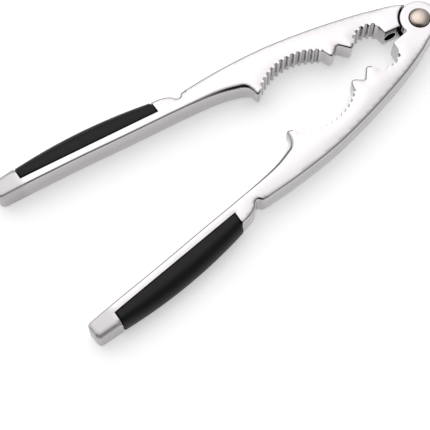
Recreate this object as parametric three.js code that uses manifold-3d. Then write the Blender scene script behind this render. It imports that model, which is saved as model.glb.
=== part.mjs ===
// Double-jaw nutcracker: two cast arms hinged on one rivet, with a soft grip let into the back
// of each handle. All sizes are in millimetres.
// The origin is on the rivet's axis, in the plane of the rear faces. The handles run to -X
// with the centre line between them along -X, and +Z runs through the thickness.
import * as THREE from 'three';
import { mergeVertices } from 'three/addons/utils/BufferGeometryUtils.js';
import Module from 'manifold-3d';

const wasm = await Module();
wasm.setup();

// ---- driving dimensions ----
const THICKNESS = 11.4;
const CLEARANCE = 0.3;
const EDGE = 0.4;

const EAR_RADIUS = 7.7;
const EAR_THICKNESS = 3.6;
const SHOULDER_RADIUS = 8.8;
const TONGUE_RADIUS = 6;
const OPENING_ANGLE = THREE.MathUtils.degToRad(35);
const STOP_FACE_X = 0.7;

const SHANK_RADIUS = 2.5;
const HEAD_RADIUS = 3.9;
const HEAD_HEIGHT = 1.7;
const HEAD_RIM = 0.3;
const HEAD_SEAT_DEPTH = 0.5;
const HEAD_SEAT_RADIUS = 4.3;
const TAIL_THICKNESS = 1.3;

const LAND = { startOut: 1.6, end: 14.7, endOut: 2.6 };
const SMALL_JAW = { along: 20.9, out: 1.9, radius: 7.4, start: 15.0, end: 26.8, grooves: 5 };
const LARGE_JAW = { along: 53.6, out: -6.6, radius: 22, start: 39.2, end: 67.6, grooves: 12 };
const GROOVE_DEPTH = 0.9;

const POCKET = { along: 12, radius: 2.1, depth: 6.4 };

const HANDLE_LENGTH = 172.2;
const TIP_OUT = 36.7;
const GRIP_START = 105;
const GRIP_END = 161.3;
const GRIP_SEAT = { nearOut: 24.9, farOut: 31.4 };
const GRIP_BACK = { nearOut: 31.2, farOut: 37.3, bulge: 8.4 };
const GRIP_ROUNDING = 4.6;
const RIB = { near: 108, far: 158.6, thickness: 5, height: 2.6 };

const KNUCKLE = 1;
const CLEVIS = -1;

// ---- helpers ----

// The angle, seen from a jaw's centre, of the point of its circle that is `along` the arm.
function jawAngle(jaw, along) {
  return Math.acos((along - jaw.along) / jaw.radius);
}

// An outline drawn for one arm (x along the arm, y out from the centre line) as a flat shape
// in the object's own axes, on the knuckle side (+Y) or the clevis side (-Y).
function placedShape(path, side, divisions = 6) {
  const points = path.getPoints(divisions).map((p) => new THREE.Vector2(-p.x, side * p.y));
  const isApart = (p, i) => p.distanceTo(points[(i + 1) % points.length]) > 0.01;
  return new THREE.Shape(points.filter(isApart));
}

function plate(shape, z0, z1, edge = 0) {
  const geometry = new THREE.ExtrudeGeometry(shape, {
    depth: z1 - z0 - 2 * edge,
    bevelEnabled: edge > 0,
    bevelThickness: edge,
    bevelSize: edge,
    bevelOffset: -edge,
    bevelSegments: 1,
    curveSegments: 24,
  });
  geometry.translate(0, 0, z0 + edge);
  return geometry;
}

function cylinder(radius, z0, z1, x = 0, y = 0, segments = 40) {
  const geometry = new THREE.CylinderGeometry(radius, radius, z1 - z0, segments);
  geometry.rotateX(Math.PI / 2);
  geometry.translate(x, y, (z0 + z1) / 2);
  return geometry;
}

function box(x0, x1, y0, y1, z0, z1) {
  const geometry = new THREE.BoxGeometry(x1 - x0, y1 - y0, z1 - z0);
  geometry.translate((x0 + x1) / 2, (y0 + y1) / 2, (z0 + z1) / 2);
  return geometry;
}

function toManifold(geometry) {
  const plain = geometry.clone();
  plain.deleteAttribute('normal');
  plain.deleteAttribute('uv');
  const merged = mergeVertices(plain, 1e-4);
  return new wasm.Manifold(new wasm.Mesh({
    numProp: 3,
    vertProperties: new Float32Array(merged.attributes.position.array),
    triVerts: new Uint32Array(merged.index.array),
  }));
}

function fromManifold(solid) {
  const mesh = solid.getMesh();
  const geometry = new THREE.BufferGeometry();
  geometry.setAttribute('position', new THREE.BufferAttribute(mesh.vertProperties, 3));
  geometry.setIndex(new THREE.BufferAttribute(mesh.triVerts, 1));
  return geometry;
}

// ---- the arms ----

// The working side of an arm, from the hinge to the end of the handle: the flat land, the
// small jaw, two blunt points, the large jaw, the hooked guard and the inside of the handle.
function drawWorkingSide(path) {
  path.lineTo(LAND.end, LAND.endOut);
  path.absarc(
    SMALL_JAW.along, SMALL_JAW.out, SMALL_JAW.radius,
    jawAngle(SMALL_JAW, SMALL_JAW.start), jawAngle(SMALL_JAW, SMALL_JAW.end), true,
  );
  path.lineTo(28.0, 5.3);
  path.quadraticCurveTo(28.9, 4.4, 29.8, 5.2);
  path.lineTo(32.3, 8.3);
  path.quadraticCurveTo(32.9, 8.9, 33.6, 8.4);
  path.lineTo(35.6, 6.8);
  path.quadraticCurveTo(37.6, 5.5, 38.3, 7.5);
  path.absarc(
    LARGE_JAW.along, LARGE_JAW.out, LARGE_JAW.radius,
    jawAngle(LARGE_JAW, LARGE_JAW.start), jawAngle(LARGE_JAW, LARGE_JAW.end), true,
  );
  path.lineTo(68.9, 9.2);
  path.quadraticCurveTo(69.9, 8.2, 70.4, 9.6);
  path.quadraticCurveTo(71.2, 14.2, 73.6, 15.2);
  path.splineThru([
    new THREE.Vector2(79.9, 17.4),
    new THREE.Vector2(87.3, 19.1),
    new THREE.Vector2(98.4, 20.8),
    new THREE.Vector2(120.4, 23.4),
    new THREE.Vector2(140.5, 25.9),
    new THREE.Vector2(170.4, 29.1),
  ]);
}

// The blunt end of the handle and the stepped seat that the grip is moulded into.
function drawHandleEnd(path) {
  path.quadraticCurveTo(HANDLE_LENGTH, 29.3, HANDLE_LENGTH, 31);
  path.lineTo(HANDLE_LENGTH - 0.2, 35.0);
  path.quadraticCurveTo(HANDLE_LENGTH - 0.4, TIP_OUT, 170, TIP_OUT);
  path.lineTo(GRIP_END + CLEARANCE, TIP_OUT);
  path.lineTo(GRIP_END + CLEARANCE, GRIP_SEAT.farOut);
  path.lineTo(GRIP_START - CLEARANCE, GRIP_SEAT.nearOut);
  path.lineTo(GRIP_START - CLEARANCE, 29.8);
}

// The back of an arm, from the grip to the hinge: a small notch for the fingertip and then
// one long curve.
function drawBack(path) {
  path.quadraticCurveTo(98.6, 29.2, 96.5, 26.6);
  path.quadraticCurveTo(95.0, 24.8, 94.1, 26.0);
  path.quadraticCurveTo(93.5, 26.9, 92.3, 27.0);
  path.splineThru([
    new THREE.Vector2(76.5, 26.6),
    new THREE.Vector2(57.5, 24.8),
    new THREE.Vector2(38.6, 21.1),
    new THREE.Vector2(20, 16.2),
    new THREE.Vector2(8, 12.0),
    new THREE.Vector2(3, 9.6),
  ]);
}

// One arm's outline, with the round ear of the hinge at its end.
function armOutline() {
  const path = new THREE.Path();
  const landAngle = Math.asin(LAND.startOut / EAR_RADIUS);
  const tangentAngle = THREE.MathUtils.degToRad(111);
  path.moveTo(EAR_RADIUS * Math.cos(landAngle), LAND.startOut);
  drawWorkingSide(path);
  drawHandleEnd(path);
  drawBack(path);
  path.absarc(0, 0, EAR_RADIUS, tangentAngle, landAngle + 2 * Math.PI, false);
  return path;
}

// One three-sided cutter for each groove between the teeth of a jaw, through the thickness.
function toothCutters(jaw, side) {
  const from = jawAngle(jaw, jaw.start + 0.6);
  const to = jawAngle(jaw, jaw.end - 0.6);
  const pitchAngle = (to - from) / jaw.grooves;
  const halfWidth = 0.46 * Math.abs(pitchAngle);
  const rim = jaw.radius - 0.3;
  const polar = (angle, radius) => new THREE.Vector2(
    jaw.along + radius * Math.cos(angle),
    jaw.out + radius * Math.sin(angle),
  );
  const cutters = [];
  for (let i = 0; i < jaw.grooves; i += 1) {
    const angle = from + (i + 0.5) * pitchAngle;
    const path = new THREE.Path();
    path.setFromPoints([
      polar(angle - halfWidth, rim),
      polar(angle, jaw.radius + GROOVE_DEPTH),
      polar(angle + halfWidth, rim),
    ]);
    cutters.push(toManifold(plate(placedShape(path, side), -1, THICKNESS + 1)));
  }
  return cutters;
}

// The blind round pocket in the knuckle arm's land. It is measured from the centre line.
function pocketCutter() {
  const geometry = new THREE.CylinderGeometry(POCKET.radius, POCKET.radius, POCKET.depth, 32);
  geometry.translate(-POCKET.along, KNUCKLE * POCKET.depth / 2, THICKNESS / 2);
  return toManifold(geometry);
}

// The rib that stands up from the seat and holds the grip from inside.
function gripRib(side, grow = 0) {
  const seatOut = (along) => THREE.MathUtils.mapLinear(
    along, GRIP_START, GRIP_END, GRIP_SEAT.nearOut, GRIP_SEAT.farOut,
  );
  const near = RIB.near - grow;
  const far = RIB.far + grow;
  const path = new THREE.Path();
  path.setFromPoints([
    new THREE.Vector2(near, seatOut(near) - 1),
    new THREE.Vector2(far, seatOut(far) - 1),
    new THREE.Vector2(far, seatOut(far) + RIB.height + grow),
    new THREE.Vector2(near, seatOut(near) + RIB.height + grow),
  ]);
  const half = RIB.thickness / 2 + grow;
  return toManifold(plate(
    placedShape(path, side), THICKNESS / 2 - half, THICKNESS / 2 + half,
  ));
}

function armBlank(side) {
  let arm = toManifold(plate(placedShape(armOutline(), side), 0, THICKNESS, EDGE));
  arm = arm.add(gripRib(side));
  for (const cutter of [...toothCutters(SMALL_JAW, side), ...toothCutters(LARGE_JAW, side)]) {
    arm = arm.subtract(cutter);
  }
  return arm;
}

// The clevis arm: two ears with a slot between them. The slot's floor is round in front of
// the rivet and ends in a flat stop face beside it.
function clevisArm() {
  const z0 = EAR_THICKNESS;
  const z1 = THICKNESS - EAR_THICKNESS;
  const reach = EAR_RADIUS + 1;
  let arm = armBlank(CLEVIS);
  arm = arm.subtract(toManifold(cylinder(TONGUE_RADIUS + CLEARANCE, z0, z1)));
  arm = arm.subtract(toManifold(box(-reach - 1, reach, -LAND.startOut, reach, z0, z1)));
  arm = arm.subtract(toManifold(box(STOP_FACE_X, reach, -reach, 0, z0, z1)));
  arm = arm.subtract(toManifold(cylinder(SHANK_RADIUS + CLEARANCE / 2, -1, THICKNESS + 1)));
  const frontSeatZ = THICKNESS - HEAD_SEAT_DEPTH;
  arm = arm.subtract(toManifold(cylinder(HEAD_SEAT_RADIUS, frontSeatZ, THICKNESS + 1)));
  arm = arm.subtract(toManifold(cylinder(HEAD_SEAT_RADIUS, -1, TAIL_THICKNESS + CLEARANCE)));
  return fromManifold(arm);
}

// The flat tongue of the knuckle arm, which turns between the ears. Its heel meets the stop
// face of the clevis slot when the arms are fully open.
function tongue() {
  const z0 = EAR_THICKNESS + CLEARANCE;
  const z1 = THICKNESS - EAR_THICKNESS - CLEARANCE;
  const path = new THREE.Path();
  const startAngle = Math.asin(LAND.startOut / TONGUE_RADIUS);
  const endAngle = THREE.MathUtils.degToRad(125) - 2 * Math.PI;
  path.moveTo(SHOULDER_RADIUS + 1, LAND.startOut + 0.2);
  path.absarc(0, 0, TONGUE_RADIUS, startAngle, endAngle, true);
  path.lineTo(1.4, 8.4);
  path.lineTo(4, 9.6);
  path.lineTo(SHOULDER_RADIUS + 1, 8);
  const disc = toManifold(plate(placedShape(path, KNUCKLE), z0, z1));
  const heel = box(STOP_FACE_X + 0.1, 3.0, -7.1, -TONGUE_RADIUS / 2, z0, z1);
  heel.rotateZ(OPENING_ANGLE);
  return disc.add(toManifold(heel));
}

// The knuckle arm: its ear is cut away to a hollow shoulder that clears the clevis ears, and
// the tongue takes its place.
function knuckleArm() {
  let arm = armBlank(KNUCKLE);
  arm = arm.subtract(pocketCutter());
  arm = arm.subtract(toManifold(cylinder(SHOULDER_RADIUS, -1, THICKNESS + 1)));
  arm = arm.add(tongue());
  arm = arm.subtract(toManifold(cylinder(SHANK_RADIUS + CLEARANCE / 2, -1, THICKNESS + 1)));
  return fromManifold(arm);
}

// ---- the rivet and the grips ----

// The rivet: a domed head in front, a shank, and a flat tail that is flush with the rear face.
function pivotRivet() {
  const seatZ = THICKNESS - HEAD_SEAT_DEPTH + 0.05;
  const rimZ = THICKNESS + HEAD_RIM;
  const domeHeight = HEAD_HEIGHT - HEAD_RIM;
  const profile = [
    new THREE.Vector2(0, 0),
    new THREE.Vector2(HEAD_RADIUS - 0.2, 0),
    new THREE.Vector2(HEAD_RADIUS, 0.2),
    new THREE.Vector2(HEAD_RADIUS, TAIL_THICKNESS),
    new THREE.Vector2(SHANK_RADIUS, TAIL_THICKNESS),
    new THREE.Vector2(SHANK_RADIUS, seatZ),
    new THREE.Vector2(HEAD_RADIUS, seatZ),
    new THREE.Vector2(HEAD_RADIUS, rimZ),
  ];
  const domeSteps = 7;
  for (let i = 1; i < domeSteps; i += 1) {
    const angle = (i / domeSteps) * Math.PI / 2;
    const r = HEAD_RADIUS * Math.cos(angle);
    profile.push(new THREE.Vector2(r, rimZ + domeHeight * Math.sin(angle)));
  }
  profile.push(new THREE.Vector2(0, rimZ + domeHeight));
  const geometry = new THREE.LatheGeometry(profile, 40);
  geometry.rotateX(Math.PI / 2);
  return geometry;
}

// How far out the back of a grip stands: a long shallow bulge.
function gripBack(along) {
  const t = (along - GRIP_START) / (GRIP_END - GRIP_START);
  const chord = THREE.MathUtils.lerp(GRIP_BACK.nearOut, GRIP_BACK.farOut, t);
  return chord + GRIP_BACK.bulge * t * (1 - t);
}

// A grip, lofted along the handle through sections that are square at the seat and rounded
// at the back, with a slot inside for the rib.
function armGrip(side) {
  const stations = 20;
  const cornerSteps = 4;
  const rings = [];
  for (let i = 0; i <= stations; i += 1) {
    const t = i / stations;
    const along = THREE.MathUtils.lerp(GRIP_START, GRIP_END, t);
    const seat = THREE.MathUtils.lerp(GRIP_SEAT.nearOut, GRIP_SEAT.farOut, t) + CLEARANCE;
    const back = gripBack(along);
    const ring = [[seat, 0], [seat, THICKNESS]];
    const corners = [
      { z: THICKNESS - GRIP_ROUNDING, start: Math.PI / 2 },
      { z: GRIP_ROUNDING, start: 0 },
    ];
    for (const { z, start } of corners) {
      for (let k = 0; k <= cornerSteps; k += 1) {
        const angle = start - (k / cornerSteps) * Math.PI / 2;
        const out = back - GRIP_ROUNDING + GRIP_ROUNDING * Math.cos(angle);
        ring.push([out, z + GRIP_ROUNDING * Math.sin(angle)]);
      }
    }
    rings.push(ring.map(([out, z]) => new THREE.Vector3(-along, side * out, z)));
  }
  const body = toManifold(loft(rings, side));
  return fromManifold(body.subtract(gripRib(side, CLEARANCE)));
}

// A closed skin through rings that all have the same number of corners.
function loft(rings, side) {
  const count = rings[0].length;
  const positions = rings.flat().flatMap((p) => [p.x, p.y, p.z]);
  const triangles = [];
  const addTriangle = (a, b, c) => triangles.push(...(side > 0 ? [a, c, b] : [a, b, c]));
  for (let i = 0; i + 1 < rings.length; i += 1) {
    for (let k = 0; k < count; k += 1) {
      const next = (k + 1) % count;
      const here = i * count;
      const there = here + count;
      addTriangle(here + k, there + k, here + next);
      addTriangle(here + next, there + k, there + next);
    }
  }
  const last = (rings.length - 1) * count;
  for (let k = 1; k + 1 < count; k += 1) {
    addTriangle(0, k, k + 1);
    addTriangle(last, last + k + 1, last + k);
  }
  const geometry = new THREE.BufferGeometry();
  geometry.setAttribute('position', new THREE.Float32BufferAttribute(positions, 3));
  geometry.setAttribute('normal', new THREE.Float32BufferAttribute(positions, 3));
  geometry.setAttribute('uv', new THREE.Float32BufferAttribute(positions.length / 3 * 2, 2));
  geometry.setIndex(triangles);
  return geometry;
}

// ---- materials and assembly ----

function metal(color, roughness) {
  return new THREE.MeshStandardMaterial({ color, metalness: 1, roughness });
}

function softBlack() {
  return new THREE.MeshStandardMaterial({ color: 0x1c1a1a, metalness: 0, roughness: 0.6 });
}

function node(name, geometry, material) {
  const mesh = new THREE.Mesh(geometry, material);
  mesh.name = name;
  return mesh;
}

const nutcracker = new THREE.Group();
nutcracker.name = 'nutcracker';
nutcracker.add(
  node('clevis_arm', clevisArm(), metal(0xdfe1e4, 0.15)),
  node('knuckle_arm', knuckleArm(), metal(0xdfe1e4, 0.15)),
  node('pivot_rivet', pivotRivet(), metal(0xc9b7a6, 0.3)),
  node('clevis_arm_grip', armGrip(CLEVIS), softBlack()),
  node('knuckle_arm_grip', armGrip(KNUCKLE), softBlack()),
);

export default nutcracker;
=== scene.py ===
import math
import bmesh
import bpy
import numpy as np
from mathutils import Matrix, Vector
from mathutils.geometry import delaunay_2d_cdt


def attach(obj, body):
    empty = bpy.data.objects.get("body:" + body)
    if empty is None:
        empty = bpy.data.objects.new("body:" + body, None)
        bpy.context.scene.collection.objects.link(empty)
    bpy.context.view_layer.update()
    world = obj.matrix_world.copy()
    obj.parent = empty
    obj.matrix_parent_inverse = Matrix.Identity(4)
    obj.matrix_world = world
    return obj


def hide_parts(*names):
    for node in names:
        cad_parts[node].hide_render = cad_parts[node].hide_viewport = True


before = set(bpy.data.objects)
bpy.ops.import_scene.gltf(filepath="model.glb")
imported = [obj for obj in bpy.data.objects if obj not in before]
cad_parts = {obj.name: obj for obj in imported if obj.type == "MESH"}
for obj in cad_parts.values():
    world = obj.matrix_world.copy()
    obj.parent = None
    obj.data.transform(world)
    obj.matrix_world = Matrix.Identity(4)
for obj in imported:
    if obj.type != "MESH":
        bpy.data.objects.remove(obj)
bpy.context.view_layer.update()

# Shapes are worked out in millimetres, in the CAD's frame: the rivet's axis is Z, the handles
# run to -X, and the clevis arm is on the -Y side of the centre line.
MM = 0.001
THICKNESS = 11.4
KNUCKLE = 1
CLEVIS = -1

EAR_RADIUS = 7.68
EAR_THICKNESS = 3.6
SHOULDER_RADIUS = 8.3
TONGUE_RADIUS = 6.0
CLEARANCE = 0.3
OPENING_ANGLE = math.radians(35)
STOP_FACE_X = 0.7
HEEL = {"gap": 0.1, "far_x": 3.0, "reach": 7.1}

SHANK_RADIUS = 2.5
BORE_RADIUS = SHANK_RADIUS + CLEARANCE / 2
HEAD_RADIUS = 3.9
HEAD_HEIGHT = 1.7
HEAD_RIM = 0.3
HEAD_SEAT_DEPTH = 0.5
HEAD_SEAT_RADIUS = 4.3
HEAD_SEAT_GAP = 0.05
TAIL_THICKNESS = 1.3
TAIL_CORNER = 0.2

LAND_OUT = 1.6
LAND_END = (14.7, 2.6)
# A jaw is part of a circle: its centre and radius, where it runs along the arm, its grooves.
SMALL_JAW = {"along": 20.9, "out": 1.9, "radius": 7.4, "start": 15.0, "end": 26.8, "grooves": 5}
LARGE_JAW = {"along": 53.6, "out": -6.6, "radius": 22.0, "start": 39.2, "end": 67.6, "grooves": 12}
GROOVE_DEPTH = 0.9
GROOVE_MARGIN = 0.6
GROOVE_MOUTH = 0.38
GROOVE_FLOOR = 0.18

# The two blunt points between the jaws and the valley between them, as curves for bend().
FIRST_POINT = ((28.0, 5.3), (28.9, 4.4), (29.8, 5.2))
VALLEY = ((32.3, 8.3), (32.9, 8.9), (33.6, 8.4))
SECOND_POINT = ((35.6, 6.8), (37.6, 5.5), (38.3, 7.5))

# The hooked guard: its round nose, where its curve meets the handle, and how far its wide edge
# rounding runs on along the handle.
HOOK_NOSE = {"along": 69.4, "out": 10.5, "radius": 1.3}
HOOK_FOOT = (73.6, 15.2)
HOOK_TAPER = 26

# The handle's inner side from the hook to the tip, and its back from the notch to the hinge.
INNER_KNOTS = [
    HOOK_FOOT, (79.9, 17.4), (87.3, 19.1), (98.4, 20.8),
    (120.4, 23.4), (140.5, 25.9), (170.4, 29.1),
]
BACK_KNOTS = [
    (92.3, 27.0), (76.5, 26.6), (57.5, 24.8), (38.6, 21.1), (20, 16.2), (8, 12.0), (3, 9.6),
]

POCKET = {"along": 11.9, "radius": 2.4, "depth": 6.4}

NOTCH_ALONG = 93
HANDLE_LENGTH = 172.2
TIP_OUT = 36.7
GRIP_START = 105.0
GRIP_END = 161.3
GRIP_SEAT = (24.9, 31.4)
GRIP_BACK = {"near": 31.2, "far": 37.3, "bulge": 8.4}
GRIP_END_ROUNDING = 0.6
GRIP_CORNER = 0.5
GRIP_OVAL = 0.62
SEAT_GAP = 0.18
SKIN = 0.01
FACE_GAP = 0.05

# How far each edge is rounded over, in millimetres: on the front face and on the rear face.
TOOTH_EDGE = (0.15, 0.3)
LAND_EDGE = (0.3, 1.8)
POINT_EDGE = (0.8, 3.6)
NOSE_SIDE_EDGE = (1.3, 4.6)
NOSE_EDGE = (2.2, 6.0)
HOOK_EDGE = (2.2, 2.6)
HANDLE_EDGE = (1.05, 0.8)
NOTCH_EDGE = (1.3, 1.3)
TIP_EDGE = (2.2, 2.0)
END_EDGE = (1.3, 1.5)
BACK_EDGE = (0.9, 0.9)
SEAT_EDGE = (0.15, 0.15)
EAR_EDGE = (0.5, 0.5)
SHOULDER_EDGE = (0.35, 0.35)

# How far an arm's front face falls away by each kind of edge, and over what width; how far from
# the pivot that starts and over what length it comes in; and the fall towards the handle's tip.
BACK_CROWN = (0.7, 8)
WORKING_CROWN = (0.3, 5)
SEAT_CROWN = (0.22, 3)
CROWN_START = 9
CROWN_RISE = 9
TIP_FALL = 0.9
TIP_FALL_START = 155

# The meshes: how close two points of an outline count as one, the step along it, the angles at
# which rows of points follow its edge rounding, the least gap between points at a rim and between
# a rim and the grid inside it, the grid's own steps and its least distance from the outline, and
# the angle from which an edge is drawn sharp.
SAME_PLACE = 0.02
OUTLINE_STEP = 0.7
ROW_DEGREES = (20, 35, 50, 65, 80)
RIM_GAP = 0.07
GRID_GAP = 0.4
GRID_STEP = 1.1
GRID_ROW_STEP = GRID_STEP * 0.87
GRID_MARGIN = GRID_STEP * 0.45
SHARP_ANGLE = math.radians(34)

# How far the material masks reach past the surfaces they are meant for, and past the seat's wall.
MASK_MARGIN = 0.05
SEAT_MASK_MARGIN = 0.02


# ---- curves in one arm's plan: x along the arm from the pivot, y out from the centre line ----

def lerp(a, b, t):
    return a + (b - a) * t


def line(a, b, count):
    return [(lerp(a[0], b[0], i / count), lerp(a[1], b[1], i / count)) for i in range(count + 1)]


def arc(centre, radius, start, end, count):
    angles = [lerp(start, end, i / count) for i in range(count + 1)]
    return [(centre[0] + radius * math.cos(a), centre[1] + radius * math.sin(a)) for a in angles]


def bend(a, control, b, count=8):
    """A quadratic curve from a to b that leaves and arrives towards the control point."""
    points = []
    for i in range(count + 1):
        t = i / count
        u = 1 - t
        points.append(tuple(
            u * u * a[k] + 2 * u * t * control[k] + t * t * b[k] for k in range(2)
        ))
    return points


def spline(knots, count=12):
    """A smooth curve through the knots (uniform Catmull-Rom)."""
    points = []
    last = len(knots) - 1
    for i in range(last):
        p0 = knots[max(i - 1, 0)]
        p1 = knots[i]
        p2 = knots[i + 1]
        p3 = knots[min(i + 2, last)]
        for j in range(count + (i == last - 1)):
            t = j / count
            points.append(tuple(
                p1[k] + 0.5 * t * ((p2[k] - p0[k])
                + t * (2 * p0[k] - 5 * p1[k] + 4 * p2[k] - p3[k]
                + t * (3 * (p1[k] - p2[k]) + p3[k] - p0[k])))
                for k in range(2)
            ))
    return points


def jaw_angle(jaw, along):
    return math.acos((along - jaw["along"]) / jaw["radius"])


def toothed_jaw(jaw):
    """A jaw's hollow, cut by evenly spaced grooves with steep walls and a flat floor."""
    centre = (jaw["along"], jaw["out"])
    radius = jaw["radius"]
    start = jaw_angle(jaw, jaw["start"])
    end = jaw_angle(jaw, jaw["end"])
    first = jaw_angle(jaw, jaw["start"] + GROOVE_MARGIN)
    pitch = (jaw_angle(jaw, jaw["end"] - GROOVE_MARGIN) - first) / jaw["grooves"]
    mouth = GROOVE_MOUTH * pitch
    floor = GROOVE_FLOOR * pitch
    points = arc(centre, radius, start, first + 0.5 * pitch - mouth, 2)
    for i in range(jaw["grooves"]):
        middle = first + (i + 0.5) * pitch
        next_stop = end if i + 1 == jaw["grooves"] else middle + pitch - mouth
        points += arc(centre, radius + GROOVE_DEPTH, middle - floor, middle + floor, 2)
        points += arc(centre, radius, middle + mouth, next_stop, 3)
    return points


def blended(edge_a, edge_b, t):
    """An edge rounding that passes smoothly from one to another as t goes from 0 to 1."""
    t = min(max(t, 0), 1)
    ease = t * t * (3 - 2 * t)
    return tuple(lerp(a, b, ease) for a, b in zip(edge_a, edge_b))


def nose_edge(p):
    return blended(NOSE_SIDE_EDGE, NOSE_EDGE, (p[0] - HOOK_NOSE["along"]) / HOOK_NOSE["radius"])


def throat_edge(p):
    rise = HOOK_FOOT[1] - HOOK_NOSE["out"]
    return blended(NOSE_EDGE, HOOK_EDGE, (p[1] - HOOK_NOSE["out"]) / rise)


def guard_edge(p):
    return blended(HOOK_EDGE, HANDLE_EDGE, (p[0] - HOOK_FOOT[0]) / HOOK_TAPER)


class Outline:
    """A closed outline with an edge rounding for each stretch, fixed or worked out by place."""

    def __init__(self):
        self.points = []
        self.edges = []

    def add(self, points, edge):
        for p in points:
            if not self.points or math.dist(p, self.points[-1]) > SAME_PLACE:
                self.points.append(p)
                self.edges.append(edge(p) if callable(edge) else edge)

    def close(self):
        """Drops a doubled last point and fills long stretches in to an even step."""
        while math.dist(self.points[0], self.points[-1]) < SAME_PLACE:
            self.points.pop()
            self.edges.pop()
        points = []
        edges = []
        for i, (a, edge) in enumerate(zip(self.points, self.edges)):
            b = self.points[(i + 1) % len(self.points)]
            pieces = max(1, math.ceil(math.dist(a, b) / OUTLINE_STEP))
            points += line(a, b, pieces)[:-1]
            edges += [edge] * pieces
        self.points = points
        self.edges = edges


def arm_outline(side):
    """One arm: land, jaws, hooked guard, handle, grip seat, notch, back and hinge end."""
    o = Outline()
    hinge_radius = EAR_RADIUS if side == CLEVIS else SHOULDER_RADIUS
    land_angle = math.asin(LAND_OUT / hinge_radius)
    land_start = (hinge_radius * math.cos(land_angle), LAND_OUT)
    o.add(line(land_start, LAND_END, 4), LAND_EDGE)
    o.add(toothed_jaw(SMALL_JAW), TOOTH_EDGE)
    o.add(bend(*FIRST_POINT), POINT_EDGE)
    o.add(line(FIRST_POINT[-1], VALLEY[0], 3), POINT_EDGE)
    o.add(bend(*VALLEY, 5), POINT_EDGE)
    o.add(line(VALLEY[-1], SECOND_POINT[0], 3), POINT_EDGE)
    o.add(bend(*SECOND_POINT), POINT_EDGE)
    o.add(toothed_jaw(LARGE_JAW), TOOTH_EDGE)
    nose = (HOOK_NOSE["along"], HOOK_NOSE["out"])
    nose_start = math.radians(-130)
    o.add(arc(nose, HOOK_NOSE["radius"], nose_start, 0, 16), nose_edge)
    nose_end = (nose[0] + HOOK_NOSE["radius"], nose[1])
    o.add(bend(nose_end, (71.1, 14.4), HOOK_FOOT, 14), throat_edge)
    o.add(spline(INNER_KNOTS), guard_edge)
    end_low = (HANDLE_LENGTH, 31)
    end_high = (HANDLE_LENGTH - 0.2, 35.0)
    tip_top = (170, TIP_OUT)
    o.add(bend(INNER_KNOTS[-1], (HANDLE_LENGTH, 29.3), end_low), END_EDGE)
    o.add(line(end_low, end_high, 4), END_EDGE)
    o.add(bend(end_high, (HANDLE_LENGTH - 0.4, TIP_OUT), tip_top), TIP_EDGE)
    grip_far = GRIP_END + CLEARANCE
    grip_near = GRIP_START - CLEARANCE
    o.add(line(tip_top, (grip_far, TIP_OUT), 6), TIP_EDGE)
    o.add(line((grip_far, TIP_OUT - 0.6), (grip_far, GRIP_SEAT[1]), 4), SEAT_EDGE)
    o.add(line((grip_far, GRIP_SEAT[1]), (grip_near, GRIP_SEAT[0]), 30), SEAT_EDGE)
    o.add(line((grip_near, GRIP_SEAT[0]), (grip_near, 29.2), 4), SEAT_EDGE)
    notch_far = (96.5, 26.6)
    notch_near = (94.1, 26.0)
    o.add(bend((grip_near, 29.8), (98.6, 29.2), notch_far, 14), BACK_EDGE)
    o.add(bend(notch_far, (95.0, 24.8), notch_near), NOTCH_EDGE)
    o.add(bend(notch_near, (93.5, 26.9), BACK_KNOTS[0]), NOTCH_EDGE)
    o.add(spline(BACK_KNOTS), BACK_EDGE)
    if side == CLEVIS:
        tangent = math.radians(111)
        full = 2 * math.pi + land_angle
        o.add(arc((0, 0), EAR_RADIUS, tangent, full, 72), EAR_EDGE)
    else:
        back_angle = math.radians(84)
        o.add(arc((0, 0), SHOULDER_RADIUS, back_angle, land_angle, 26), SHOULDER_EDGE)
    o.close()
    return o


# ---- solids ----

def new_object(name, bm):
    mesh = bpy.data.meshes.new(name)
    bm.to_mesh(mesh)
    bm.free()
    obj = bpy.data.objects.new(name, mesh)
    bpy.context.scene.collection.objects.link(obj)
    return obj


def inward_normals(points):
    """For each corner of a closed outline, the way into it, long enough to keep the inset even."""
    p = np.array(points)
    ahead = np.roll(p, -1, axis=0) - p
    ahead /= np.linalg.norm(ahead, axis=1)[:, None]
    behind = np.roll(ahead, 1, axis=0)
    area = np.sum(p[:, 0] * np.roll(p[:, 1], -1) - np.roll(p[:, 0], -1) * p[:, 1])
    turn = 1 if area > 0 else -1
    normal_ahead = turn * np.stack([-ahead[:, 1], ahead[:, 0]], axis=1)
    normal_behind = turn * np.stack([-behind[:, 1], behind[:, 0]], axis=1)
    middle = normal_ahead + normal_behind
    least_length = 0.3
    least_cosine = 0.6
    middle /= np.maximum(np.linalg.norm(middle, axis=1), least_length)[:, None]
    cosine = np.maximum(np.sum(middle * normal_ahead, axis=1), least_cosine)
    return middle / cosine[:, None]


def distance_to(points, path):
    """The distance from each point to an open path."""
    points = np.array(points)
    best = np.full(len(points), 1e9)
    for a, b in zip(np.array(path[:-1]), np.array(path[1:])):
        d = b - a
        t = np.clip(((points - a) @ d) / max(d @ d, 1e-9), 0, 1)
        best = np.minimum(best, np.linalg.norm(points - a - t[:, None] * d, axis=1))
    return best


def edge_fall(where, points, radii):
    """How far quarter-round edges bring the surface down at each place inside an outline."""
    where = np.array(where)
    fall = np.zeros(len(where))
    corners = np.array(points)
    for a, b, radius in zip(corners, np.roll(corners, -1, axis=0), radii):
        d = b - a
        t = np.clip(((where - a) @ d) / (d @ d), 0, 1)
        far = np.linalg.norm(where - a - t[:, None] * d, axis=1)
        short = np.clip(radius - far, 0, radius)
        fall = np.maximum(fall, radius - np.sqrt(radius ** 2 - short ** 2))
    return fall


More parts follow.
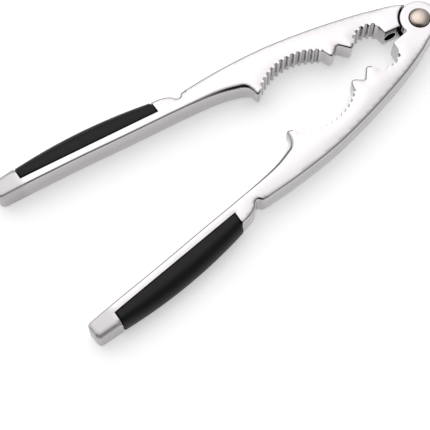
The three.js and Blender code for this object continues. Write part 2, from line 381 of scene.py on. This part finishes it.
def thinned(points, gap, kept):
    """Leaves out the points that lie closer than the gap to one already kept."""
    cells = {}
    chosen = []

    def cell(p):
        return int(math.floor(p[0] / gap)), int(math.floor(p[1] / gap))

    def is_free(p):
        i, j = cell(p)
        near = [q for a in (-1, 0, 1) for b in (-1, 0, 1) for q in cells.get((i + a, j + b), [])]
        return all(math.dist(p, q) >= gap for q in near)

    for p in kept:
        cells.setdefault(cell(p), []).append(p)
    for p in points:
        if is_free(p):
            cells.setdefault(cell(p), []).append(p)
            chosen.append(p)
    return chosen


def rim_points(points, radii):
    """Rows of points that follow an outline inwards, closest together where its edge is steep."""
    corners = np.array(points)
    inward = inward_normals(points)
    radii = np.array(radii)
    rows = []
    for degrees in ROW_DEGREES:
        inset = radii * (1 - math.cos(math.radians(degrees)))
        row = corners + inward * inset[:, None]
        clear = distance_to(row, list(points) + [points[0]]) > 0.96 * inset
        rows += [tuple(p) for p in row[clear]]
    return rows


def rounded_plate(name, points, edges, side, z0, z1, crown=None):
    """A flat piece with rounded edges. crown gives how far the front face sinks at a place."""
    bm = bmesh.new()
    count = len(points)
    rims = []
    for is_front in (False, True):
        radii = [edge[0 if is_front else 1] for edge in edges]
        rows = thinned(rim_points(points, radii), RIM_GAP, points)
        inner = thinned(interior_points(points), GRID_GAP, rows + list(points))
        flat = [Vector(p) for p in list(points) + rows + inner]
        found = delaunay_2d_cdt(flat, [], [list(range(count))], 1, 1e-6)
        places = np.array([tuple(p) for p in found[0]])
        fall = edge_fall(places, points, radii)
        if is_front and crown is not None:
            fall = fall + crown(places)
        heights = z1 - fall if is_front else z0 + fall
        verts = [
            bm.verts.new((-p[0] * MM, side * p[1] * MM, z * MM)) for p, z in zip(places, heights)
        ]
        for face in found[2]:
            bm.faces.new([verts[i] for i in face])
        rim = [None] * count
        for vert, sources in zip(verts, found[3]):
            for source in sources:
                if source < count:
                    rim[source] = vert
        rims.append(rim)
    rear, front = rims
    for i in range(count):
        j = (i + 1) % count
        bm.faces.new((rear[i], rear[j], front[j], front[i]))
    bmesh.ops.recalc_face_normals(bm, faces=bm.faces)
    return new_object(name, bm)


def interior_points(ring):
    """A staggered grid of points well inside a closed outline."""
    ring = np.array(ring)
    low = ring.min(axis=0)
    high = ring.max(axis=0)
    rows = []
    for j, y in enumerate(np.arange(low[1] + GRID_STEP / 2, high[1], GRID_ROW_STEP)):
        shift = GRID_STEP / 2 if j % 2 else 0
        rows += [(x, y) for x in np.arange(low[0] + GRID_STEP / 2 + shift, high[0], GRID_STEP)]
    grid = np.array(rows)
    inside = np.zeros(len(grid), bool)
    x, y = grid[:, 0], grid[:, 1]
    for a, b in zip(ring, np.roll(ring, -1, axis=0)):
        crosses = (a[1] > y) != (b[1] > y)
        if crosses.any():
            at = a[0] + (y - a[1]) / (b[1] - a[1] + 1e-12) * (b[0] - a[0])
            inside ^= crosses & (x < at)
    far = distance_to(grid, list(ring) + [ring[0]]) > GRID_MARGIN
    return [tuple(p) for p in grid[inside & far]]


def sweep_rings(bm, rings):
    """Joins closed rings of points, in metres, into a skin with closed ends."""
    levels = [[bm.verts.new(p) for p in ring] for ring in rings]
    count = len(rings[0])
    for low, high in zip(levels, levels[1:]):
        for i in range(count):
            j = (i + 1) % count
            bm.faces.new((low[i], low[j], high[j], high[i]))
    bm.faces.new(levels[0])
    bm.faces.new(levels[-1])
    bmesh.ops.recalc_face_normals(bm, faces=bm.faces)


def turned(name, profile):
    """A turned solid about the Z axis; the profile starts and ends on the axis."""
    segments = 96
    bm = bmesh.new()
    rings = []
    for r, z in profile:
        if r < 1e-6:
            rings.append([bm.verts.new((0, 0, z * MM))])
            continue
        ring = []
        for k in range(segments):
            a = 2 * math.pi * k / segments
            ring.append(bm.verts.new((r * math.cos(a) * MM, r * math.sin(a) * MM, z * MM)))
        rings.append(ring)
    for low, high in zip(rings, rings[1:]):
        for k in range(segments):
            n = (k + 1) % segments
            below = [low[k % len(low)], low[n % len(low)]]
            above = [high[n % len(high)], high[k % len(high)]]
            unique = list(dict.fromkeys(below + above))
            if len(unique) > 2:
                bm.faces.new(unique)
    bmesh.ops.recalc_face_normals(bm, faces=bm.faces)
    return new_object(name, bm)


def drum(name, radius, z0, z1):
    return turned(name, [(0, z0), (radius, z0), (radius, z1), (0, z1)])


def block(name, x0, x1, y0, y1, z0, z1, turn=0):
    """A box along the axes, then turned about the rivet's axis."""
    bm = bmesh.new()
    outline = [(x0, y0), (x1, y0), (x1, y1), (x0, y1)]
    spin = Matrix.Rotation(turn, 3, "Z")
    rings = [[spin @ Vector((x, y, z)) * MM for x, y in outline] for z in (z0, z1)]
    sweep_rings(bm, rings)
    return new_object(name, bm)


def combine(target, tools, operation):
    """Applies one boolean per tool and removes the tools."""
    for tool in tools:
        modifier = target.modifiers.new("cut", "BOOLEAN")
        modifier.object = tool
        modifier.operation = operation
        modifier.solver = "EXACT"
    evaluated = target.evaluated_get(bpy.context.evaluated_depsgraph_get())
    mesh = bpy.data.meshes.new_from_object(evaluated)
    target.modifiers.clear()
    target.data = mesh
    for tool in tools:
        bpy.data.objects.remove(tool)


def smooth(obj):
    obj.data.shade_smooth()
    obj.data.set_sharp_from_angle(angle=SHARP_ANGLE)


# ---- the arms ----

def arm_crown(outline):
    """A function of place: how far an arm's front face falls away there. The fall starts past
    the hinge, which stays flat."""

    def stretch(kinds, low=-math.inf, high=math.inf):
        pairs = zip(outline.points, outline.edges)
        return [p for p, kind in pairs if kind in kinds and low < p[0] < high]

    back = stretch([BACK_EDGE], high=NOTCH_ALONG)
    neck = stretch([BACK_EDGE], low=NOTCH_ALONG)
    working = stretch([TOOTH_EDGE, POINT_EDGE])
    seat = stretch([SEAT_EDGE])

    def slope(distance, crown_size):
        depth, width = crown_size
        return depth * np.clip(1 - distance / width, 0, 1) ** 2

    def crown(where):
        to_back = np.minimum(distance_to(where, back), distance_to(where, neck) + 1)
        from_pivot = np.linalg.norm(where, axis=1)
        past_hinge = np.clip((from_pivot - CROWN_START) / CROWN_RISE, 0, 1)
        past_start = (where[:, 0] - TIP_FALL_START) / (HANDLE_LENGTH - TIP_FALL_START)
        tip = TIP_FALL * np.clip(past_start, 0, 1) ** 2
        edges = slope(to_back, BACK_CROWN) + slope(distance_to(where, working), WORKING_CROWN)
        return past_hinge * edges + slope(distance_to(where, seat), SEAT_CROWN) + tip

    return crown


def pocket_cutter():
    """The blind round pocket in the knuckle arm's land."""
    bm = bmesh.new()
    rings = []
    for y in (0, POCKET["depth"]):
        ring = []
        for k in range(64):
            a = 2 * math.pi * k / 64
            x = -POCKET["along"] + POCKET["radius"] * math.cos(a)
            z = THICKNESS / 2 + POCKET["radius"] * math.sin(a)
            ring.append(Vector((x, KNUCKLE * y, z)) * MM)
        rings.append(ring)
    sweep_rings(bm, rings)
    return new_object("pocket_cutter", bm)


def arm_body(name, side):
    outline = arm_outline(side)
    crown = arm_crown(outline)
    return rounded_plate(name, outline.points, outline.edges, side, 0, THICKNESS, crown)


def make_clevis_arm():
    """The clevis arm: two ears with a slot between them, bored for the rivet."""
    arm = arm_body("clevis_arm_shell", CLEVIS)
    z0 = EAR_THICKNESS
    z1 = THICKNESS - EAR_THICKNESS
    reach = EAR_RADIUS + 1
    head_z = THICKNESS - HEAD_SEAT_DEPTH
    combine(arm, [
        drum("slot_floor", TONGUE_RADIUS + CLEARANCE, z0, z1),
        block("slot_front", -reach - 1, reach, -LAND_OUT, reach, z0, z1),
        block("slot_back", STOP_FACE_X, reach, -reach, 0, z0, z1),
        drum("bore", BORE_RADIUS, -1, THICKNESS + 1),
        drum("head_seat", HEAD_SEAT_RADIUS, head_z, THICKNESS + 1),
        drum("tail_seat", HEAD_SEAT_RADIUS, -1, TAIL_THICKNESS + CLEARANCE),
    ], "DIFFERENCE")
    return arm


def make_knuckle_arm():
    """The knuckle arm, with the tongue that turns between the ears and its stop heel."""
    arm = arm_body("knuckle_arm_shell", KNUCKLE)
    z0 = EAR_THICKNESS + CLEARANCE
    z1 = THICKNESS - EAR_THICKNESS - CLEARANCE
    start = math.asin(LAND_OUT / TONGUE_RADIUS)
    end = math.radians(125) - 2 * math.pi
    plan = [(SHOULDER_RADIUS + 1, LAND_OUT + 0.2)]
    plan += arc((0, 0), TONGUE_RADIUS, start, end, 64)
    plan += [(1.4, 8.4), (4, 9.6), (SHOULDER_RADIUS + 1, 8)]
    tongue = rounded_plate("tongue", plan, [SEAT_EDGE] * len(plan), KNUCKLE, z0, z1)
    near_x = STOP_FACE_X + HEEL["gap"]
    end_y = -HEEL["reach"]
    root_y = -TONGUE_RADIUS / 2
    heel = block("heel", near_x, HEEL["far_x"], end_y, root_y, z0, z1, OPENING_ANGLE)
    combine(arm, [tongue, heel], "UNION")
    combine(arm, [
        drum("bore", BORE_RADIUS, -1, THICKNESS + 1),
        pocket_cutter(),
    ], "DIFFERENCE")
    return arm


# ---- the grips ----

def grip_back(along):
    t = (along - GRIP_START) / (GRIP_END - GRIP_START)
    chord = lerp(GRIP_BACK["near"], GRIP_BACK["far"], t)
    return chord + GRIP_BACK["bulge"] * t * (1 - t) - SKIN


def grip_section(along, inset):
    """One cross-section of a grip as (out, z) points: square at the seat, half an oval behind."""
    t = (along - GRIP_START) / (GRIP_END - GRIP_START)
    seat = lerp(GRIP_SEAT[0], GRIP_SEAT[1], t) + SEAT_GAP
    back = grip_back(along) - inset
    top = THICKNESS - FACE_GAP - inset
    low = FACE_GAP + inset
    points = []
    for z, turn in ((low + GRIP_CORNER, 270), (top - GRIP_CORNER, 180)):
        for k in range(4):
            a = math.radians(turn - 30 * k)
            points.append((seat + GRIP_CORNER * (1 + math.cos(a)), z + GRIP_CORNER * math.sin(a)))
    round_depth = GRIP_OVAL * (back - seat)
    middle = (top + low) / 2
    half = (top - low) / 2
    steps = 28
    for k in range(steps + 1):
        a = math.radians(90 - 180 * k / steps)
        out = back - round_depth + round_depth * math.cos(a)
        points.append((out, middle + half * math.sin(a)))
    return points


def make_grip(name, side):
    length = GRIP_END - GRIP_START
    ends = []
    for k in range(6):
        a = math.radians(90 * k / 5)
        ends.append((GRIP_END_ROUNDING * (1 - math.cos(a)), GRIP_END_ROUNDING * (1 - math.sin(a))))
    stations = list(ends)
    stations += [(lerp(1, length - 1, i / 44), 0) for i in range(45)]
    stations += [(length - distance, inset) for distance, inset in reversed(ends)]
    rings = []
    for distance, inset in stations:
        along = GRIP_START + distance
        section = grip_section(along, inset)
        rings.append([(-along * MM, side * out * MM, z * MM) for out, z in section])
    bm = bmesh.new()
    sweep_rings(bm, rings)
    return new_object(name, bm)


# ---- the rivet ----

def make_rivet():
    """The rivet: a flush tail with a soft corner, a shank, and a domed head on a short rim."""
    seat_z = THICKNESS - HEAD_SEAT_DEPTH + HEAD_SEAT_GAP
    rim_z = THICKNESS + HEAD_RIM
    dome = HEAD_HEIGHT - HEAD_RIM
    corner = 0.3 * TAIL_CORNER
    profile = [(0, 0), (HEAD_RADIUS - TAIL_CORNER, 0)]
    profile += [(HEAD_RADIUS - corner, corner), (HEAD_RADIUS, TAIL_CORNER)]
    profile += [(HEAD_RADIUS, TAIL_THICKNESS), (SHANK_RADIUS, TAIL_THICKNESS)]
    profile += [(SHANK_RADIUS, seat_z), (HEAD_RADIUS, seat_z), (HEAD_RADIUS, rim_z)]
    steps = 20
    for i in range(1, steps):
        a = math.radians(90) * i / steps
        profile.append((HEAD_RADIUS * math.cos(a), rim_z + dome * math.sin(a)))
    profile.append((0, THICKNESS + HEAD_HEIGHT))
    return turned("rivet_body", profile)


# ---- materials ----

def new_material(name):
    material = bpy.data.materials.new(name)
    material.use_nodes = True
    tree = material.node_tree
    return material, tree, tree.nodes["Principled BSDF"]


def object_noise(tree, scale, detail=4, stretch=(1, 1, 1)):
    """Noise over the piece's own coordinates, in metres."""
    place = tree.nodes.new("ShaderNodeTexCoord")
    mapping = tree.nodes.new("ShaderNodeMapping")
    mapping.inputs["Scale"].default_value = stretch
    noise = tree.nodes.new("ShaderNodeTexNoise")
    noise.inputs["Scale"].default_value = scale
    noise.inputs["Detail"].default_value = detail
    tree.links.new(place.outputs["Object"], mapping.inputs["Vector"])
    tree.links.new(mapping.outputs["Vector"], noise.inputs["Vector"])
    return noise.outputs["Fac"]


def ramp(tree, value, low, high):
    node = tree.nodes.new("ShaderNodeMapRange")
    node.inputs["To Min"].default_value = low
    node.inputs["To Max"].default_value = high
    tree.links.new(value, node.inputs["Value"])
    return node.outputs["Result"]


def tint(tree, value, dark, light):
    mix = tree.nodes.new("ShaderNodeMix")
    mix.data_type = "RGBA"
    mix.inputs["A"].default_value = (*dark, 1)
    mix.inputs["B"].default_value = (*light, 1)
    tree.links.new(value, mix.inputs["Factor"])
    return mix.outputs["Result"]


def bump(tree, shader, value, strength, distance):
    node = tree.nodes.new("ShaderNodeBump")
    node.inputs["Strength"].default_value = strength
    node.inputs["Distance"].default_value = distance
    tree.links.new(value, node.inputs["Height"])
    tree.links.new(node.outputs["Normal"], shader.inputs["Normal"])


def math_node(tree, operation, *values):
    node = tree.nodes.new("ShaderNodeMath")
    node.operation = operation
    for socket, value in zip(node.inputs, values):
        if isinstance(value, (int, float)):
            socket.default_value = value
        else:
            tree.links.new(value, socket)
    return node.outputs[0]


def object_axes(tree):
    """The piece's own x, y and z, in metres."""
    place = tree.nodes.new("ShaderNodeTexCoord")
    split = tree.nodes.new("ShaderNodeSeparateXYZ")
    tree.links.new(place.outputs["Object"], split.inputs[0])
    return split.outputs


def recess_mask(tree):
    """1 in the recesses, which get painted near-black shade and a rougher surface: inside the hinge
    slot, under the rivet head, in the pocket.
    """
    x, y, z = object_axes(tree)

    def squared(value):
        return math_node(tree, "MULTIPLY", value, value)

    def within(value, limit):
        return math_node(tree, "LESS_THAN", value, limit)

    depth = math_node(tree, "ABSOLUTE", math_node(tree, "SUBTRACT", z, THICKNESS / 2 * MM))
    from_pivot = math_node(tree, "ADD", squared(x), squared(y))
    slot = math_node(
        tree, "MULTIPLY",
        within(from_pivot, ((SHOULDER_RADIUS + MASK_MARGIN) * MM) ** 2),
        within(depth, (THICKNESS / 2 - EAR_THICKNESS + MASK_MARGIN) * MM),
    )
    seat = math_node(
        tree, "MULTIPLY",
        within(from_pivot, ((HEAD_SEAT_RADIUS + SEAT_MASK_MARGIN) * MM) ** 2),
        within(depth, (THICKNESS / 2 - HEAD_SEAT_DEPTH + MASK_MARGIN) * MM),
    )
    from_pocket_x = math_node(tree, "ADD", x, POCKET["along"] * MM)
    from_middle = math_node(tree, "SUBTRACT", y, (POCKET["depth"] / 2 + 2 * MASK_MARGIN) * MM)
    from_pocket = math_node(tree, "ADD", squared(from_pocket_x), squared(depth))
    pocket = math_node(
        tree, "MULTIPLY",
        within(from_pocket, ((POCKET["radius"] + MASK_MARGIN) * MM) ** 2),
        within(math_node(tree, "ABSOLUTE", from_middle), POCKET["depth"] / 2 * MM),
    )
    return math_node(tree, "MAXIMUM", math_node(tree, "MAXIMUM", slot, seat), pocket)


def groove_mask(tree, jaw):
    """1 in the grooves of a jaw of either arm, where a darker grey is painted in as shade."""
    x, y, z = object_axes(tree)
    across = math_node(tree, "SUBTRACT", math_node(tree, "ABSOLUTE", y), jaw["out"] * MM)
    from_x = math_node(tree, "ADD", x, jaw["along"] * MM)
    squares = math_node(tree, "MULTIPLY", across, across)
    squares = math_node(tree, "MULTIPLY_ADD", from_x, from_x, squares)
    depth = math_node(tree, "SUBTRACT", math_node(tree, "SQRT", squares), jaw["radius"] * MM)
    below_teeth = 0.2
    bottom = GROOVE_DEPTH + MASK_MARGIN
    middle = (below_teeth + bottom) / 2 * MM
    half = (bottom - below_teeth) / 2 * MM
    from_middle = math_node(tree, "ABSOLUTE", math_node(tree, "SUBTRACT", depth, middle))
    in_groove = math_node(tree, "LESS_THAN", from_middle, half)
    height = math_node(tree, "ABSOLUTE", math_node(tree, "SUBTRACT", z, THICKNESS / 2 * MM))
    faces_kept = 0.45
    in_wall = math_node(tree, "LESS_THAN", height, (THICKNESS / 2 - faces_kept) * MM)
    return math_node(tree, "MULTIPLY", in_groove, in_wall)


def blend_colours(tree, mask, where_0, where_1):
    """A mix of two colour outputs by a mask."""
    mix = tree.nodes.new("ShaderNodeMix")
    mix.data_type = "RGBA"
    tree.links.new(mask, mix.inputs["Factor"])
    tree.links.new(where_0, mix.inputs["A"])
    tree.links.new(where_1, mix.inputs["B"])
    return mix.outputs["Result"]


def satin_tip(tree):
    """Roughness that rises from 0 to a satin 0.5 on the end of the handle beyond the grip."""
    node = tree.nodes.new("ShaderNodeMapRange")
    node.interpolation_type = "SMOOTHSTEP"
    node.inputs["From Min"].default_value = -(GRIP_END - 5) * MM
    node.inputs["From Max"].default_value = -(GRIP_END + 3) * MM
    node.inputs["To Max"].default_value = 0.5
    tree.links.new(object_axes(tree)["X"], node.inputs["Value"])
    return node.outputs["Result"]


def chrome():
    """Plated zinc: bright and smooth with a faint cast ripple, with painted shade: a darker grey in
    the grooves and near-black in the recesses, which are also rougher; satin at the ends of the
    handles."""
    material, tree, shader = new_material("polished_plating")
    recess = recess_mask(tree)
    bright = tint(tree, object_noise(tree, 60), (0.49, 0.478, 0.487), (0.54, 0.528, 0.535))
    # Painted shade: the grooves of the jaws get a darker grey than the rest of the plating.
    painted_groove_shade = tint(tree, object_noise(tree, 900), (0.37, 0.362, 0.366), (0.43, 0.421, 0.426))
    grooves = math_node(
        tree, "MAXIMUM", groove_mask(tree, SMALL_JAW), groove_mask(tree, LARGE_JAW))
    plating = blend_colours(tree, grooves, bright, painted_groove_shade)
    # Painted shade: the hinge slot, the rivet's seat and the pocket are coloured near-black.
    painted_recess_shade = tint(tree, object_noise(tree, 900), (0.012, 0.011, 0.011), (0.03, 0.028, 0.027))
    colour = blend_colours(tree, recess, plating, painted_recess_shade)
    tree.links.new(colour, shader.inputs["Base Color"])
    polish = ramp(tree, object_noise(tree, 220, 6, (1, 4, 4)), 0.05, 0.11)
    dulled = math_node(tree, "MAXIMUM", polish, math_node(tree, "MULTIPLY", recess, 0.6))
    rough = math_node(tree, "MAXIMUM", dulled, satin_tip(tree))
    tree.links.new(rough, shader.inputs["Roughness"])
    shader.inputs["Metallic"].default_value = 1
    bump(tree, shader, object_noise(tree, 110, 2), 0.08, 0.0002)
    return material


def warm_metal():
    """The rivet: a warm nickel colour on a satin surface with a very fine grain."""
    material, tree, shader = new_material("warm_nickel")
    shader.inputs["Metallic"].default_value = 1
    colour = tint(tree, object_noise(tree, 500), (0.43, 0.365, 0.32), (0.54, 0.468, 0.416))
    tree.links.new(colour, shader.inputs["Base Color"])
    tree.links.new(ramp(tree, object_noise(tree, 900, 6), 0.24, 0.34), shader.inputs["Roughness"])
    bump(tree, shader, object_noise(tree, 1800, 3), 0.15, 0.00005)
    return material


def soft_black():
    """The grips: satin black moulding with a fine sandy texture and a slight brown cast."""
    material, tree, shader = new_material("soft_black_moulding")
    mottle = object_noise(tree, 150, 5)
    colour = tint(tree, mottle, (0.003, 0.0027, 0.0027), (0.006, 0.0054, 0.0055))
    tree.links.new(colour, shader.inputs["Base Color"])
    tree.links.new(ramp(tree, object_noise(tree, 700, 5), 0.40, 0.52), shader.inputs["Roughness"])
    shader.inputs["Specular IOR Level"].default_value = 0.2
    bump(tree, shader, object_noise(tree, 3500, 6), 0.2, 0.00006)
    return material


# ---- studio ----

def compass(azimuth, elevation):
    """A direction by its angles in degrees: azimuth from -Y towards +X, elevation upwards."""
    a = math.radians(azimuth)
    e = math.radians(elevation)
    return Vector((math.sin(a) * math.cos(e), -math.cos(a) * math.cos(e), math.sin(e)))


def make_camera():
    """The main view: from the front left, 69 degrees above the resting plane."""
    target = Vector((-111.3, -21.6, THICKNESS)) * MM
    distance = 502.1 * MM
    away = compass(-35, 68.58)
    data = bpy.data.cameras.new("photo_camera")
    data.sensor_width = 36
    data.lens = 115.6
    data.clip_start = 0.01
    camera = bpy.data.objects.new("photo_camera", data)
    camera.location = target + away * distance
    camera.rotation_euler = (-away).to_track_quat("-Z", "Y").to_euler()
    bpy.context.scene.collection.objects.link(camera)
    bpy.context.scene.camera = camera


def make_world():
    """A white studio: a wide soft light overhead and behind, dimmer to the right and low behind,
    with a dark soft patch in front where the camera stands and a dim one to the left of it."""
    world = bpy.data.worlds.new("studio")
    world.use_nodes = True
    tree = world.node_tree
    background = tree.nodes["Background"]
    place = tree.nodes.new("ShaderNodeTexCoord")

    def towards(azimuth, elevation):
        dot = tree.nodes.new("ShaderNodeVectorMath")
        dot.operation = "DOT_PRODUCT"
        dot.inputs[1].default_value = compass(azimuth, elevation)
        tree.links.new(place.outputs["Generated"], dot.inputs[0])
        return dot.outputs["Value"]

    def fade(value, start, full, left):
        node = tree.nodes.new("ShaderNodeMapRange")
        node.interpolation_type = "SMOOTHSTEP"
        node.inputs["From Min"].default_value = start
        node.inputs["From Max"].default_value = full
        node.inputs["To Min"].default_value = 1
        node.inputs["To Max"].default_value = left
        tree.links.new(value, node.inputs["Value"])
        return node.outputs["Result"]

    narrowness = 5.0
    everywhere = 0.35
    brightness = 2.25
    overhead = math_node(tree, "MAXIMUM", towards(168, 62), 0.0)
    lobe = math_node(tree, "POWER", overhead, narrowness)
    light = math_node(tree, "MULTIPLY_ADD", lobe, 1 - everywhere, everywhere)
    # Each dimmer patch: its azimuth and elevation, the cosines of the angles from its middle
    # where it starts and where it is full, and how much light is left there.
    for azimuth, elevation, start, full, left in (
        (-35, 30, 0.72, 0.90, 0.03),
        (-78, 30, 0.86, 0.96, 0.3),
        (165, 0, 0.80, 0.96, 0.22),
        (55, 0, 0.15, 0.9, 0.4),
    ):
        shade = fade(towards(azimuth, elevation), start, full, left)
        light = math_node(tree, "MULTIPLY", light, shade)
    light = math_node(tree, "MULTIPLY", light, brightness)
    tree.links.new(light, background.inputs["Strength"])
    background.inputs["Color"].default_value = (1, 0.985, 0.995, 1)
    bpy.context.scene.world = world


def make_floor():
    """A round pale floor just under the tool: a disc with a wide ring round it, in metres."""
    corners = 48
    middle_x = -0.09
    floor_z = -0.0002
    bm = bmesh.new()
    rings = []
    for radius in (0.3, 1.5):
        angles = [2 * math.pi * k / corners for k in range(corners)]
        rings.append([
            bm.verts.new((radius * math.cos(a) + middle_x, radius * math.sin(a), floor_z))
            for a in angles
        ])
    inner, outer = rings
    bm.faces.new(inner)
    for k in range(corners):
        n = (k + 1) % corners
        bm.faces.new((inner[k], inner[n], outer[n], outer[k]))
    bmesh.ops.recalc_face_normals(bm, faces=bm.faces)
    floor = new_object("floor", bm)
    material, tree, shader = new_material("pale_floor")
    shader.inputs["Base Color"].default_value = (0.72, 0.72, 0.72, 1)
    shader.inputs["Roughness"].default_value = 0.9
    shader.inputs["Specular IOR Level"].default_value = 0.1
    shader.inputs["Emission Color"].default_value = (1, 1, 1, 1)
    shader.inputs["Emission Strength"].default_value = 0.45
    floor.data.materials.append(material)


# ---- assembly ----

def dress(obj, material):
    obj.data.materials.clear()
    obj.data.materials.append(material)


def assemble():
    plating = chrome()
    black = soft_black()
    clevis = make_clevis_arm()
    knuckle = make_knuckle_arm()
    rivet = make_rivet()
    grips = [make_grip("clevis_grip_moulding", CLEVIS), make_grip("knuckle_grip_moulding", KNUCKLE)]
    dress(clevis, plating)
    dress(knuckle, plating)
    dress(rivet, warm_metal())
    for grip in grips:
        dress(grip, black)
    for piece in (clevis, knuckle, rivet, *grips):
        smooth(piece)
    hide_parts("clevis_arm")
    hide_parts("knuckle_arm")
    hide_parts("pivot_rivet")
    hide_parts("clevis_arm_grip")
    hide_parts("knuckle_arm_grip")
    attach(clevis, "clevis_half")
    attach(rivet, "clevis_half")
    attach(grips[0], "clevis_half")
    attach(knuckle, "knuckle_half")
    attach(grips[1], "knuckle_half")


assemble()
make_camera()
make_world()
make_floor()
bpy.context.scene.view_settings.view_transform = "Standard"
